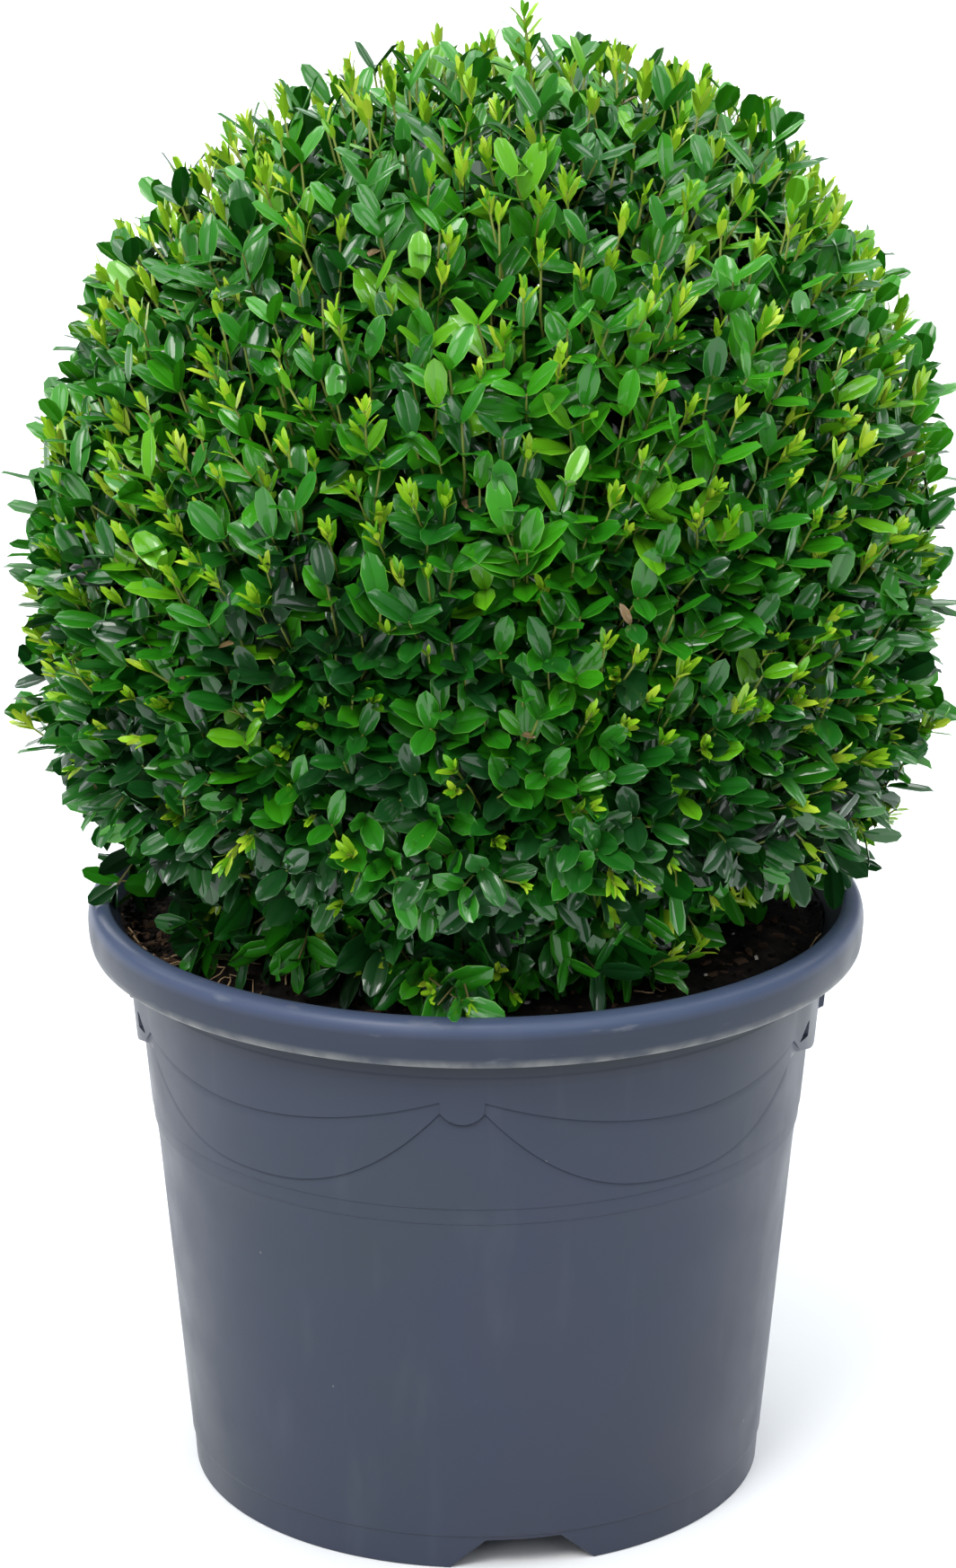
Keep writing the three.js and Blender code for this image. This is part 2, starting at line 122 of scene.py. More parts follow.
def write_rings(name, rings, hub_heights, material):
    """A closed mesh from rings of points, with a hub on the axis at each end."""
    grid = np.arange(rings[..., 0].size).reshape(rings.shape[:2])
    after = np.roll(grid, -1, axis=1)
    quads = np.stack([grid[:-1], after[:-1], after[1:], grid[1:]], -1).reshape(-1, 4)
    hub = np.full(grid.shape[1], grid.size)
    first = np.stack([after[0], grid[0], hub], -1)
    last = np.stack([grid[-1], after[-1], hub + 1], -1)
    points = np.concatenate([rings.reshape(-1, 3), [[0, 0, height] for height in hub_heights]])
    return write_mesh(name, points, [quads, first, last], [material])


def finish_piece(piece, slot, *nodes):
    """Ties a piece to the body and hides the CAD nodes it stands for; the slot is not used."""
    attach(piece, "root")
    if nodes:
        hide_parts(*nodes)


# ---- pot measures
POT_COLUMNS = 240
FOOT_RADIUS = 121.2
FOOT_TOP_RADIUS = 122.2
FOOT_WIDTH = 4.2
FOOT_HEIGHT = 15.0
FLOOR_UNDERSIDE = 12.6
WALL_THICKNESS = 2.6
WALL_FOOT = 123.4
WALL_SLOPE = 0.0875
SHOULDER = (148.0, 156.0)
SHOULDER_STEP = 1.3
RINGS = (158.6, 165.4)
UNDER_RIM_LINE = 223.6
WALL_TOP = 234.5
RIM_OUTER = 162.1
SKIRT_RADIUS = 160.8
SKIRT_THICKNESS = 2.0
RIM_WIDEST = 244.5
RIM_INNER = 152.9
RIM_INNER_HEIGHT = 252.0
FACE_RADII = (144.6, 149.0)
NOTCH_COUNT = 3
NOTCH_AZIMUTH = 9.3
NOTCH_LOW_HALF = 14.4  # degrees
NOTCH_TOP_HALF = 7.4
PATTERN_AZIMUTH = -2.2
TAB_HALF_WIDTH = 8.9
TAB_BOTTOM = 203.3
TAB_ARC_RADIUS = 10.1
LUG_HALF_ANGLE = 22.0
LUG_FLAT_ANGLE = 13.0  # beyond this the lug fades into the wall
LUG_PROUD = 2.6
LUG_BOTTOM = 191.0
LUG_CORNER_ANGLE = 6.0
LUG_CORNER_TOP = 199.0
LUG_STEP = 2.6  # height of the lug's sloped lower edge
LUG_CORNER_RISE = 5.4  # how much higher it is at the corners
NUB_HALF_ANGLE = 2.6
NUB_PROUD = 4.8
NUB_BOTTOM = 204.5
SLOT_HEIGHTS = (204.0, 210.0)
SLOT_ANGLES = (15.3, 18.5)  # the sides of a slot at its foot
SLOT_DEPTH = 4.5
SLOT_EDGE = 0.9
# Each swag line: lowest height, rise, place of the lowest point, half span and power.
LOWER_SWAG = (170.0, 37.6, 37.5, 33.8, 2.5)
UPPER_SWAG = (197.8, 15.0, 40.0, 36.3, 1.9)
# Relief of the wall in each band, from the foot up, against the CAD wall.
RELIEF_LOW, RELIEF_UNDER_RINGS, RELIEF_BETWEEN, RELIEF_WALL = -0.5, -1.2, -0.85, -0.5
RELIEF_DRAPE, RELIEF_TOP = 0.3, 1.1
SWAG_GROOVE, RING_GROOVE = 0.3, 0.1
STEP_HALF = 0.16
STEP_GUARD = 0.8  # plain wall kept on both sides of a step


# ---- materials
def feed(tree, socket, value):
    """Sets an input, or links it when the value is a socket too."""
    if isinstance(value, bpy.types.NodeSocket):
        tree.links.new(value, socket)
    else:
        socket.default_value = value


def set_inputs(tree, node, **values):
    """Feeds a node's inputs, named with _ for a space."""
    for name, value in values.items():
        feed(tree, node.inputs[name.replace("_", " ")], value)
    return node


def add_node(tree, kind, **inputs):
    return set_inputs(tree, tree.nodes.new(kind), **inputs)


def principled(name, rgb, roughness, **inputs):
    """A material of one Principled shader; returns it, its tree and the shader."""
    material = bpy.data.materials.new(name)
    material.use_nodes = True
    tree = material.node_tree
    shader = tree.nodes["Principled BSDF"]
    set_inputs(tree, shader, Base_Color=linear(*rgb), Roughness=roughness, **inputs)
    return material, tree, shader


def ramp(tree, source, *stops):
    """A colour ramp on a value; each stop is (place, colour)."""
    node = add_node(tree, "ShaderNodeValToRGB", Fac=source)
    elements = node.color_ramp.elements
    while len(elements) < len(stops):
        elements.new(0.5)
    for element, (place, color) in zip(elements, stops):
        element.position = place
        element.color = color
    return node.outputs[0]


def grey_ramp(tree, source, *stops):
    """A ramp of greys; each stop is (place, value)."""
    return ramp(tree, source, *((place, (value, value, value, 1)) for place, value in stops))


def coordinates(tree, kind="Object"):
    return tree.nodes.new("ShaderNodeTexCoord").outputs[kind]


def upward(tree, kind="Object"):
    """The Z of the coordinates."""
    return add_node(tree, "ShaderNodeSeparateXYZ", Vector=coordinates(tree, kind)).outputs["Z"]


def object_noise(tree, scale, detail=3, stretch=(1, 1, 1)):
    """Noise over the object's own coordinates."""
    place = add_node(tree, "ShaderNodeMapping", Vector=coordinates(tree), Scale=stretch).outputs[0]
    return add_node(tree, "ShaderNodeTexNoise", Vector=place, Scale=scale, Detail=detail).outputs[0]


def mix_color(tree, amount, first, second, blend="MIX"):
    """Mixes two colours; each may be a socket or a constant."""
    node = tree.nodes.new("ShaderNodeMix")
    node.data_type = "RGBA"
    node.blend_type = blend
    for index, value in ((0, amount), (6, first), (7, second)):
        feed(tree, node.inputs[index], value)
    return node.outputs[2]


def bump(tree, shader, height, strength, distance):
    node = add_node(tree, "ShaderNodeBump", Height=height, Strength=strength, Distance=distance)
    set_inputs(tree, shader, Normal=node.outputs[0])


def plastic_material():
    """Satin blue-grey plastic, dusty and scuffed, with a worn edge under the rim."""
    # The rim gets painted shade on its face, a painted shadow below it and a painted sheen on its crest.
    material, tree, shader = principled("pot_plastic", (52, 58, 74), 0.36, Specular_IOR_Level=0.28)
    color = ramp(
        tree, object_noise(tree, 7, 3),
        (0.32, linear(49, 57, 69)), (0.5, linear(49, 56, 73)), (0.68, linear(53, 57, 72)))
    dusty = grey_ramp(tree, object_noise(tree, 70, 3, (1, 1, 0.2)), (0.58, 0), (0.8, 0.12))
    scratches = grey_ramp(tree, object_noise(tree, 90, 4), (0.35, 0.1), (0.7, 0.45))
    worn = mix_color(tree, 1.0, rim_mask(tree, RIM_EDGE), scratches, "MULTIPLY")
    rubs = grey_ramp(tree, object_noise(tree, 130, 4, (0.35, 0.35, 1.6)), (0.66, 0), (0.78, 0.4))
    scuffs = mix_color(tree, 1.0, rubs, rim_mask(tree, RIM_ONLY), "MULTIPLY")
    for mask, tone in (
        (dusty, (96, 100, 108)),
        (specks(tree, 70, 0.05), (150, 150, 144)),
        # painted shade on the rim's outer face
        (rim_mask(tree, RIM_FACE_PAINTED_SHADE), (34, 44, 60)),
        # painted shadow on the wall under the rim
        (rim_mask(tree, UNDER_RIM_PAINTED_SHADOW), (26, 30, 34)),
        (worn, (190, 190, 180)),
        # painted sheen on the rim's crest
        (rim_mask(tree, RIM_CREST_PAINTED_SHEEN), (94, 110, 146)),
        (scuffs, (128, 132, 138)),
    ):
        color = mix_color(tree, mask, color, linear(*tone))
    rough = grey_ramp(tree, object_noise(tree, 32, 5), (0.3, 0.3), (0.72, 0.44))
    set_inputs(tree, shader, Base_Color=color, Roughness=rough)
    bump(tree, shader, object_noise(tree, 1100, 2), 0.05, 0.0003)
    return material


def specks(tree, scale, size):
    """Sparse dust specks: small dots in a few random cells."""
    cells = add_node(tree, "ShaderNodeTexVoronoi", Vector=coordinates(tree), Scale=scale).outputs
    dots = grey_ramp(tree, cells["Distance"], (size * 0.6, 1), (size, 0))
    split = add_node(tree, "ShaderNodeSeparateColor", Color=cells["Color"])
    few = grey_ramp(tree, split.outputs[0], (0.86, 0), (0.9, 0.6))
    return mix_color(tree, 1.0, dots, few, "MULTIPLY")


# Heights and strengths of the rim's tones: a painted shadow below the rim, its worn edge,
# painted shade on its face, a painted sheen on its crest, and the rim alone for the scuffs.
UNDER_RIM_PAINTED_SHADOW = ((WALL_TOP - 16, 0), (WALL_TOP - 7, 0.6), (WALL_TOP - 0.6, 0.9), (WALL_TOP - 0.4, 0))
RIM_EDGE = ((WALL_TOP - 0.3, 0), (WALL_TOP - 0.1, 1), (WALL_TOP + 0.2, 1), (WALL_TOP + 0.6, 0))
RIM_FACE_PAINTED_SHADE = ((WALL_TOP - 2, 0), (WALL_TOP, 0.6), (RIM_WIDEST, 0.6), (RIM_WIDEST + 5, 0))
RIM_CREST_PAINTED_SHEEN = ((RIM_WIDEST + 2, 0), (RIM_TOP - 2, 0.5), (RIM_TOP, 0.4))
RIM_ONLY = ((WALL_TOP - 1, 0), (WALL_TOP, 1))


def rim_mask(tree, stops):
    """A mask from pairs of height and strength."""
    return grey_ramp(tree, upward(tree), *((height * MM, value) for height, value in stops))


def compost_material():
    """Dark moist compost: brown-black with redder fibres."""
    material, tree, shader = principled("compost_dark", (34, 27, 22), 0.9, Specular_IOR_Level=0.1)
    color = ramp(
        tree, object_noise(tree, 160, 6),
        (0.35, linear(12, 11, 10)), (0.6, linear(30, 26, 23)), (0.82, linear(66, 54, 46)))
    set_inputs(tree, shader, Base_Color=color)
    bump(tree, shader, object_noise(tree, 700, 6), 0.7, 0.001)
    return material


def bark_material():
    """Pale grey-brown bark with fine lengthwise cracks."""
    material, tree, shader = principled("boxwood_bark", (112, 96, 66), 0.85)
    color = ramp(
        tree, object_noise(tree, 240, 5, (1, 1, 0.25)),
        (0.3, linear(62, 50, 34)), (0.5, linear(108, 92, 62)), (0.72, linear(142, 128, 94)))
    set_inputs(tree, shader, Base_Color=color)
    bump(tree, shader, object_noise(tree, 420, 6, (1, 1, 0.2)), 0.6, 0.0008)
    return material


def plain(name, rgb, roughness, **inputs):
    return principled(name, rgb, roughness, **inputs)[0]


# Leaf tints, dealt out by spray and by age, and darker low and deep in the crown, partly as painted
# shade: name, blade colour, margin colour.
LEAF_TINTS = [
    ("shade", (12, 38, 14), (20, 50, 18)),
    ("deep", (16, 64, 22), (34, 86, 34)),
    ("dark", (22, 90, 20), (48, 116, 34)),
    ("mid", (34, 114, 14), (70, 140, 34)),
    ("fresh", (52, 138, 14), (90, 162, 38)),
    ("bright", (92, 162, 20), (118, 178, 44)),
    ("lime", (148, 196, 38), (158, 204, 52)),
    ("yellow", (184, 212, 58), (190, 216, 74)),
    ("tan", (128, 104, 72), (140, 118, 84)),
]
TINT = {name: index for index, (name, _, _) in enumerate(LEAF_TINTS)}
GLOSS = {"Specular_IOR_Level": 0.2, "Coat_Weight": 0.8, "Coat_Roughness": 0.08}


def leaf_materials():
    """Blade materials first, then their margins in the same order."""
    blades = [plain(f"leaf_{name}", blade, 0.4, **GLOSS) for name, blade, _ in LEAF_TINTS]
    margins = [plain(f"leaf_{name}_margin", margin, 0.45) for name, _, margin in LEAF_TINTS]
    return blades + margins


PLASTIC = plastic_material()
COMPOST = compost_material()
BARK = bark_material()
LEAVES = leaf_materials()
TWIG_GREEN = plain("twig_green", (112, 128, 44), 0.55)
TWIG_OLIVE = plain("twig_olive", (96, 92, 44), 0.7)
TWIG_BROWN = plain("twig_brown", (84, 66, 42), 0.8)
ROOT_PALE = plain("root_pale", (158, 132, 98), 0.8)
CHIP_BROWN = plain("chip_brown", (74, 57, 44), 0.9, Specular_IOR_Level=0.1)
CHIP_DARK = plain("chip_dark", (22, 18, 15), 0.9, Specular_IOR_Level=0.1)
PERLITE = plain("perlite", (196, 192, 182), 0.8)


# ---- pot
def cad_wall(height):
    shoulder = SHOULDER_STEP * np.clip((height - SHOULDER[0]) / (RINGS[0] - SHOULDER[0]), 0, 1)
    return WALL_FOOT + WALL_SLOPE * (height - FOOT_HEIGHT) + shoulder


def inner_wall(height):
    return cad_wall(height) - WALL_THICKNESS


def fold_angle(angle, period):
    """The angle from the nearest multiple of a period."""
    return np.abs((angle + period / 2) % period - period / 2)


def from_lug(azimuth):
    """The angle from the middle of the nearer lug."""
    return fold_angle(azimuth - PATTERN_AZIMUTH - 90, 180)


def swag_curve(turn, low, rise, middle, half_span, power):
    return low + rise * np.minimum(np.abs(turn - middle) / half_span, 1) ** power


def swag_lines(azimuth):
    """Heights of the lower and the upper line of the swags, with the tab between them.

    The third result is 1 on a lug and falls to 0 at its corners.
    """
    turn = fold_angle(azimuth - PATTERN_AZIMUTH, 180)
    across = np.radians(turn) * cad_wall(210)
    arc = TAB_BOTTOM + TAB_ARC_RADIUS - np.sqrt(
        np.maximum(TAB_ARC_RADIUS ** 2 - np.minimum(across, TAB_HALF_WIDTH) ** 2, 0))
    in_tab = across < TAB_HALF_WIDTH
    upper = np.where(in_tab, arc, swag_curve(turn, *UPPER_SWAG))
    lower = np.where(in_tab, arc - 0.9, swag_curve(turn, *LOWER_SWAG))
    lug_turn = from_lug(azimuth)
    corner = np.clip((lug_turn - LUG_CORNER_ANGLE) / (LUG_HALF_ANGLE - LUG_CORNER_ANGLE), 0, 1)
    lug_edge = LUG_BOTTOM + (LUG_CORNER_TOP - LUG_BOTTOM) * smooth(corner)
    in_lug = lug_turn < LUG_HALF_ANGLE
    lower = np.where(in_lug, lug_edge, lower)
    blend = smooth((lug_turn - SLOT_ANGLES[1]) / (LUG_HALF_ANGLE - SLOT_ANGLES[1]))
    upper = np.where(in_lug, lug_edge + LUG_STEP + LUG_CORNER_RISE * blend, upper)
    return lower, upper, in_lug * (1 - blend)


def notch_height(azimuth):
    """Height of the foot's lower edge, raised in the drain cut-outs."""
    turn = fold_angle(azimuth - NOTCH_AZIMUTH, 360 / NOTCH_COUNT)
    rise = (NOTCH_LOW_HALF - turn) / (NOTCH_LOW_HALF - NOTCH_TOP_HALF)
    return FLOOR_UNDERSIDE * np.clip(rise, 0, 1)


def slot_depth(azimuth, height):
    """Depth of the tapered slots near the ends of each lug."""
    turn = from_lug(azimuth)
    share = (height - SLOT_HEIGHTS[0]) / (SLOT_HEIGHTS[1] - SLOT_HEIGHTS[0])
    outer = SLOT_ANGLES[1] - (SLOT_ANGLES[1] - SLOT_ANGLES[0] - 0.6) * share
    across = np.radians(np.minimum(turn - SLOT_ANGLES[0], outer - turn)) * cad_wall(height)
    along = np.minimum(height - SLOT_HEIGHTS[0], SLOT_HEIGHTS[1] - height)
    return SLOT_DEPTH * smooth(np.minimum(across, along) / SLOT_EDGE + 0.5)


def nub_height(azimuth, height):
    """The small block on the middle of each lug, under the rim."""
    turn = from_lug(azimuth)
    rise = smooth((NUB_HALF_ANGLE - turn) / 0.5 + 0.5) * smooth((height - NUB_BOTTOM) / 1.2 + 0.5)
    return (NUB_PROUD - LUG_PROUD) * rise


def pot_columns():
    """Azimuths of the mesh columns: even, and closer together at sharp edges."""
    columns = list(np.arange(POT_COLUMNS) * 360 / POT_COLUMNS)
    tab_half = math.degrees(TAB_HALF_WIDTH / cad_wall(210))

    def near(azimuth, spread, count):
        columns.extend(azimuth + np.linspace(-spread, spread, count))

    for middle in (PATTERN_AZIMUTH, PATTERN_AZIMUTH + 180):
        near(middle, tab_half, 16)
        for sign in (-1, 1):
            near(middle + sign * tab_half, 0.1, 2)
            near(middle + 90 + sign * LUG_HALF_ANGLE, 0.3, 4)
            near(middle + 90 + sign * sum(SLOT_ANGLES) / 2, 2.1, 14)
            near(middle + 90 + sign * NUB_HALF_ANGLE, 0.3, 4)
    for notch in range(NOTCH_COUNT):
        for half in (NOTCH_LOW_HALF, NOTCH_TOP_HALF):
            near(NOTCH_AZIMUTH + notch * 360 / NOTCH_COUNT, half, 2)
    columns = np.sort(np.array(columns) % 360)
    return columns[np.concatenate([[True], np.diff(columns) > 0.03])]


def rim_profile():
    """The rim from the wall's top: hollow underside, skirt, round top and inner edge.

    Each quadratic curve in it has a control point, an end and a number of steps.
    """
    wall = cad_wall(WALL_TOP)
    skirt_in = SKIRT_RADIUS - SKIRT_THICKNESS
    lip_corners = [
        (skirt_in + 0.5, WALL_TOP - 0.25), (SKIRT_RADIUS - 0.5, WALL_TOP - 0.25),
        (SKIRT_RADIUS, WALL_TOP + 0.2), (SKIRT_RADIUS + 0.35, WALL_TOP + 0.9)]
    start = np.array((wall, WALL_TOP))
    profile = []
    for control, end, steps in (
        ((wall + 3, WALL_TOP + 12), (RIM_INNER, RIM_TOP - 4.5), 6),
        ((RIM_OUTER - 1.5, RIM_TOP - 3.5), (skirt_in, WALL_TOP), 7),
        *((corner, corner, 1) for corner in lip_corners),
        ((RIM_OUTER, WALL_TOP + 4.5), (RIM_OUTER, RIM_WIDEST), 7),
        ((RIM_OUTER, RIM_TOP), (RIM_INNER + 3, RIM_TOP), 9),
        ((RIM_INNER + 0.3, RIM_TOP), (RIM_INNER, RIM_INNER_HEIGHT), 4),
    ):
        t = (np.arange(steps) + 1)[:, None] / steps
        control, end = np.array(control), np.array(end)
        profile.extend((1 - t) ** 2 * start + 2 * t * (1 - t) * control + t ** 2 * end)
        start = end
    return profile


def inner_face(radius):
    """Height of the rim's flared inner face."""
    return np.interp(
        radius,
        [inner_wall(WALL_TOP), *FACE_RADII, RIM_INNER],
        [WALL_TOP, 242.0, 247.5, RIM_INNER_HEIGHT])


def build_pot():
    """The pot as one closed mesh whose rows follow the moulded lines."""
    azimuth = pot_columns()
    lower, upper, lug_share = swag_lines(azimuth)
    notch = notch_height(azimuth)
    rows = []  # radii and heights of each row

    def row(radius, height):
        rows.append(np.broadcast_arrays(radius, height, azimuth)[:2])

    for share in (1, 0.35, 0):
        row(FOOT_RADIUS - FOOT_WIDTH, notch + share * (FLOOR_UNDERSIDE - notch))
    row(FOOT_RADIUS - 0.5, notch)
    row(FOOT_RADIUS, notch + 0.4 * (1 - notch / FLOOR_UNDERSIDE))
    for share in (0.3, 0.7, 1.0):
        height = notch + share * (FOOT_HEIGHT - 0.5 - notch)
        row(FOOT_RADIUS + (FOOT_TOP_RADIUS - FOOT_RADIUS) * height / FOOT_HEIGHT, height)
    for inset, rise in ((0.15, 0), (0, 0.35), (0, 1.2)):
        row(WALL_FOOT + RELIEF_LOW - inset, FOOT_HEIGHT + rise)

    stops = [
        (FOOT_HEIGHT + 1.2, RELIEF_LOW, 0),
        (SHOULDER[0], RELIEF_LOW, 8),
        (SHOULDER[1], RELIEF_UNDER_RINGS, 4),
    ]

    def step(height, below, above, rows_below, groove):
        """A moulded step: rows up to it, then a fine groove and its lip."""
        stops.extend([
            (height - STEP_HALF - STEP_GUARD, below, rows_below),
            (height - STEP_HALF, below - groove, 1),
            (height + STEP_HALF, above, 1),
            (height + STEP_HALF + STEP_GUARD, above, 1),
        ])

    fade = smooth((LUG_HALF_ANGLE - from_lug(azimuth)) / (LUG_HALF_ANGLE - LUG_FLAT_ANGLE))
    top = RELIEF_TOP + (LUG_PROUD - RELIEF_TOP) * fade
    drape = RELIEF_DRAPE + (RELIEF_WALL - RELIEF_DRAPE) * lug_share
    drape_top = RELIEF_DRAPE + (top - RELIEF_DRAPE) * lug_share
    groove = SWAG_GROOVE * (1 - lug_share)
    step(RINGS[0], RELIEF_UNDER_RINGS, RELIEF_BETWEEN, 1, RING_GROOVE)
    step(RINGS[1], RELIEF_BETWEEN, RELIEF_WALL, 2, RING_GROOVE)
    step(lower, RELIEF_WALL, drape, 4, groove)
    step(upper, drape_top, top, 6, groove)
    above_swag = upper + STEP_HALF + STEP_GUARD
    for height, rows_below in zip(SLOT_HEIGHTS, (2, 10)):
        for gap, count in ((-SLOT_EDGE / 2, rows_below), (SLOT_EDGE / 2, 2)):
            stops.append((np.maximum(height + gap, above_swag + height / 200), top, count))
    step(UNDER_RIM_LINE, top, top - 0.14, 3, 0)
    stops.append((WALL_TOP, top - 0.14, 5))
    for (low, relief_low, _), (high, relief_high, count) in zip(stops, stops[1:]):
        for share in np.arange(1, count + 1) / count:
            height = low + (high - low) * share
            relief = relief_low + (relief_high - relief_low) * share
            relief = relief + nub_height(azimuth, height) - slot_depth(azimuth, height)
            row(cad_wall(height) + relief, height)

    for radius, height in rim_profile():
        wobble = 0.22 * np.sin(np.radians(3 * azimuth + 40)) * (height > WALL_TOP + 2)
        row(radius + wobble, height)
    for radius in reversed(FACE_RADII):
        row(radius, inner_face(radius))
    for height in (WALL_TOP, RINGS[0], SHOULDER[0], FOOT_HEIGHT):
        row(inner_wall(height), height)

    radii, heights = np.array(rows).transpose(1, 0, 2)
    piece = write_rings(
        "pot_shell", around(radii, azimuth, heights), (FLOOR_UNDERSIDE, FOOT_HEIGHT), PLASTIC)
    piece.data.set_sharp_from_angle(angle=math.radians(38))
    finish_piece(piece, "pot", "pot")


# ---- compost
SOIL_COLUMNS = 170
SOIL_RINGS = 50
BANK_AZIMUTH = -62.0  # the compost is banked up against the rim here
BANK_WIDTH = 46.0
BANK_REACH = 4.2


def soil_level(x, y):
    """Height of the lumpy compost at a place."""
    radius = math.hypot(x, y)
    share = radius / SOIL_HIGH[0]
    level = SOIL_HIGH[2] - 3.2 + 3.0 * share
    against_rim = inner_face(radius) + 0.4
    level += (against_rim - level) * smooth((share - 0.8) / 0.2)
    rough = 1 - 0.6 * smooth((share - 0.9) / 0.1)
    for size, depth in ((34, 2.2), (11, 1.8), (4.2, 1.1), (1.8, 0.5)):
        level += depth * rough * noise.noise(Vector((x / size, y / size, size)))
    return level


def soil_reach(azimuth):
    """Radius of the compost's edge, wider where it is banked up against the rim."""
    bank = np.exp(-(fold_angle(azimuth - BANK_AZIMUTH, 360) / BANK_WIDTH) ** 2)
    return SOIL_HIGH[0] - 0.3 + BANK_REACH * bank


def on_soil(radius, azimuth):
    """Places on top of the compost."""
    places = around(radius, azimuth, 0)
    places[:, 2] = [soil_level(x, y) for x, y, _ in places]
    return places


def build_soil():
    """The root ball: smooth sides inside the pot, and a lumpy top of compost."""
    turn = np.arange(SOIL_COLUMNS) * 360 / SOIL_COLUMNS
    points = [around(WALL_FOOT - WALL_THICKNESS - 0.4, turn, SOIL_LOW[2])]
    for height in (SHOULDER[0], RINGS[0], WALL_TOP):
        points.append(around(inner_wall(height) - 0.5, turn, height))
    for ring in range(SOIL_RINGS):
        points.append(on_soil(soil_reach(turn) * (1 - ring / SOIL_RINGS), turn))
    piece = write_rings("compost", np.array(points), (SOIL_LOW[2], soil_level(0, 0)), COMPOST)
    finish_piece(piece, "compost", "root_ball")


def lumps(centres, sizes, stretch):
    """Small irregular lumps: a jittered block at each centre."""
    count = len(centres)
    corners = np.array([[x, y, z] for x in (-1, 1) for y in (-1, 1) for z in (-1, 1)], float)
    shape = corners[None] * rng.uniform(0.45, 1.0, (count, 8, 3)) * stretch
    turn = rng.uniform(0, 2 * math.pi, count)[:, None]
    tilt = rng.normal(0, 0.35, count)[:, None]
    x, y, z = np.moveaxis(shape, -1, 0)
    x, y = x * np.cos(turn) - y * np.sin(turn), x * np.sin(turn) + y * np.cos(turn)
    points = np.stack([x, y, z + tilt * x * 0.5], -1) * sizes[:, None, None] + centres[:, None]
    block = np.array([[0, 1, 3, 2], [4, 6, 7, 5], [0, 4, 5, 1], [2, 3, 7, 6], [0, 2, 6, 4], [1, 5, 7, 3]])
    faces = (block[None] + 8 * np.arange(count)[:, None, None]).reshape(-1, 4)
    return points, faces


def scatter_soil(count, banked):
    """Random places on the compost, a share of them on the bank."""
    on_bank = rng.random(count) < banked
    turn = np.where(on_bank, rng.normal(BANK_AZIMUTH, 20, count), rng.uniform(-180, 180, count))
    inner = np.where(on_bank, 0.88, 0.35)
    return on_soil((soil_reach(turn) - 0.8) * np.sqrt(rng.uniform(inner ** 2, 1, count)), turn)


def build_crumbs():
    """Crumbs, bark chips and grit on the compost."""
    for name, count, banked, low, high, stretch, material in (
        ("crumbs", 2000, 0.2, 0.7, 2.2, (1, 0.8, 0.7), CHIP_DARK),
        ("bark_chips", 680, 0.4, 0.9, 3.6, (1.5, 0.6, 0.45), CHIP_BROWN),
        ("grit", 46, 0, 0.6, 1.3, (1, 0.9, 0.8), PERLITE),
    ):
        centres = scatter_soil(count, banked)
        sizes = low + (high - low) * rng.random(count) ** 2.2
        points, faces = lumps(centres, sizes, stretch)
        piece = write_mesh(name, points, [faces], [material], smooth_shade=False)
        finish_piece(piece, "compost")


ROOT_COUNT = 30
ROOT_STEPS = 9


def build_roots():
    """Fine pale roots on the compost, most of them on the left."""
    paths = np.empty((ROOT_COUNT, ROOT_STEPS, 3))
    for path in paths:
        azimuth = rng.normal(-57, 9) if rng.random() < 0.7 else rng.uniform(0, 360)
        start = around(rng.uniform(116, 147), azimuth, 0)
        heading = rng.uniform(0, 2 * math.pi)
        length = rng.uniform(8, 26)
        for step, share in enumerate(np.linspace(0, 1, ROOT_STEPS)):
            point = start + length * share * np.array([math.cos(heading), math.sin(heading), 0])
            heading += rng.normal(0, 0.28)
            point *= min(1, (SOIL_HIGH[0] + 1) / math.hypot(*point[:2]))
            point[2] = soil_level(*point[:2]) + 0.9 + 1.6 * math.sin(math.pi * share)
            path[step] = point
    radii = rng.uniform(0.22, 0.5, (ROOT_COUNT, 1)) * np.linspace(1, 0.4, ROOT_STEPS)
    finish_piece(write_mesh("fine_roots", *tubes(paths, radii, 5), [ROOT_PALE]), "compost")


# ---- tubes and bark
def tubes(paths, radii, sides):
    """Round tubes with closed ends, from points (m, k, 3) and radii (m, k)."""
    tangent = unit(np.gradient(paths, axis=1))
    helper = np.where(np.abs(tangent[..., 2:3]) > 0.9, np.array([1.0, 0, 0]), UP)
    side = unit(np.cross(tangent, helper))
    up = np.cross(side, tangent)
    turn = np.arange(sides) * 2 * math.pi / sides
    ring = (np.cos(turn)[:, None] * side[:, :, None] + np.sin(turn)[:, None] * up[:, :, None])
    points = paths[:, :, None] + radii[:, :, None, None] * ring
    grid = np.arange(points[..., 0].size).reshape(points.shape[:3])
    after = np.roll(grid, -1, axis=2)
    quads = np.stack([grid[:, :-1], grid[:, 1:], after[:, 1:], after[:, :-1]], -1).reshape(-1, 4)
    caps = np.concatenate([grid[:, 0], grid[:, -1, ::-1]])
    return points, [quads, caps]


def build_bark():
    """The stem and the boughs: each CAD limb remeshed finely, with the bark's relief."""
    for node in ["stem", *LIMBS]:
        piece = new_object(f"{node}_bark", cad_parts[node].data.copy())
        remesh = piece.modifiers.new("fine", "REMESH")
        remesh.mode = "VOXEL"
        remesh.voxel_size = 1.0 * MM
        piece.modifiers.new("rounded", "SMOOTH").iterations = 6
        graph = bpy.context.evaluated_depsgraph_get()
        mesh = bpy.data.meshes.new_from_object(piece.evaluated_get(graph))
        piece.modifiers.clear()
        piece.data = mesh
        for vertex in mesh.vertices:
            place = vertex.co / MM
            cracks = noise.ridged_multi_fractal(
                Vector((place.x / 3.2, place.y / 3.2, place.z / 9)), 0.9, 2.1, 3, 0.9, 2.0)
            vertex.co += vertex.normal * MM * (0.28 * (cracks - 1.2))
        mesh.materials.clear()
        mesh.materials.append(BARK)
        mesh.shade_smooth()
        finish_piece(piece, "bark", node)


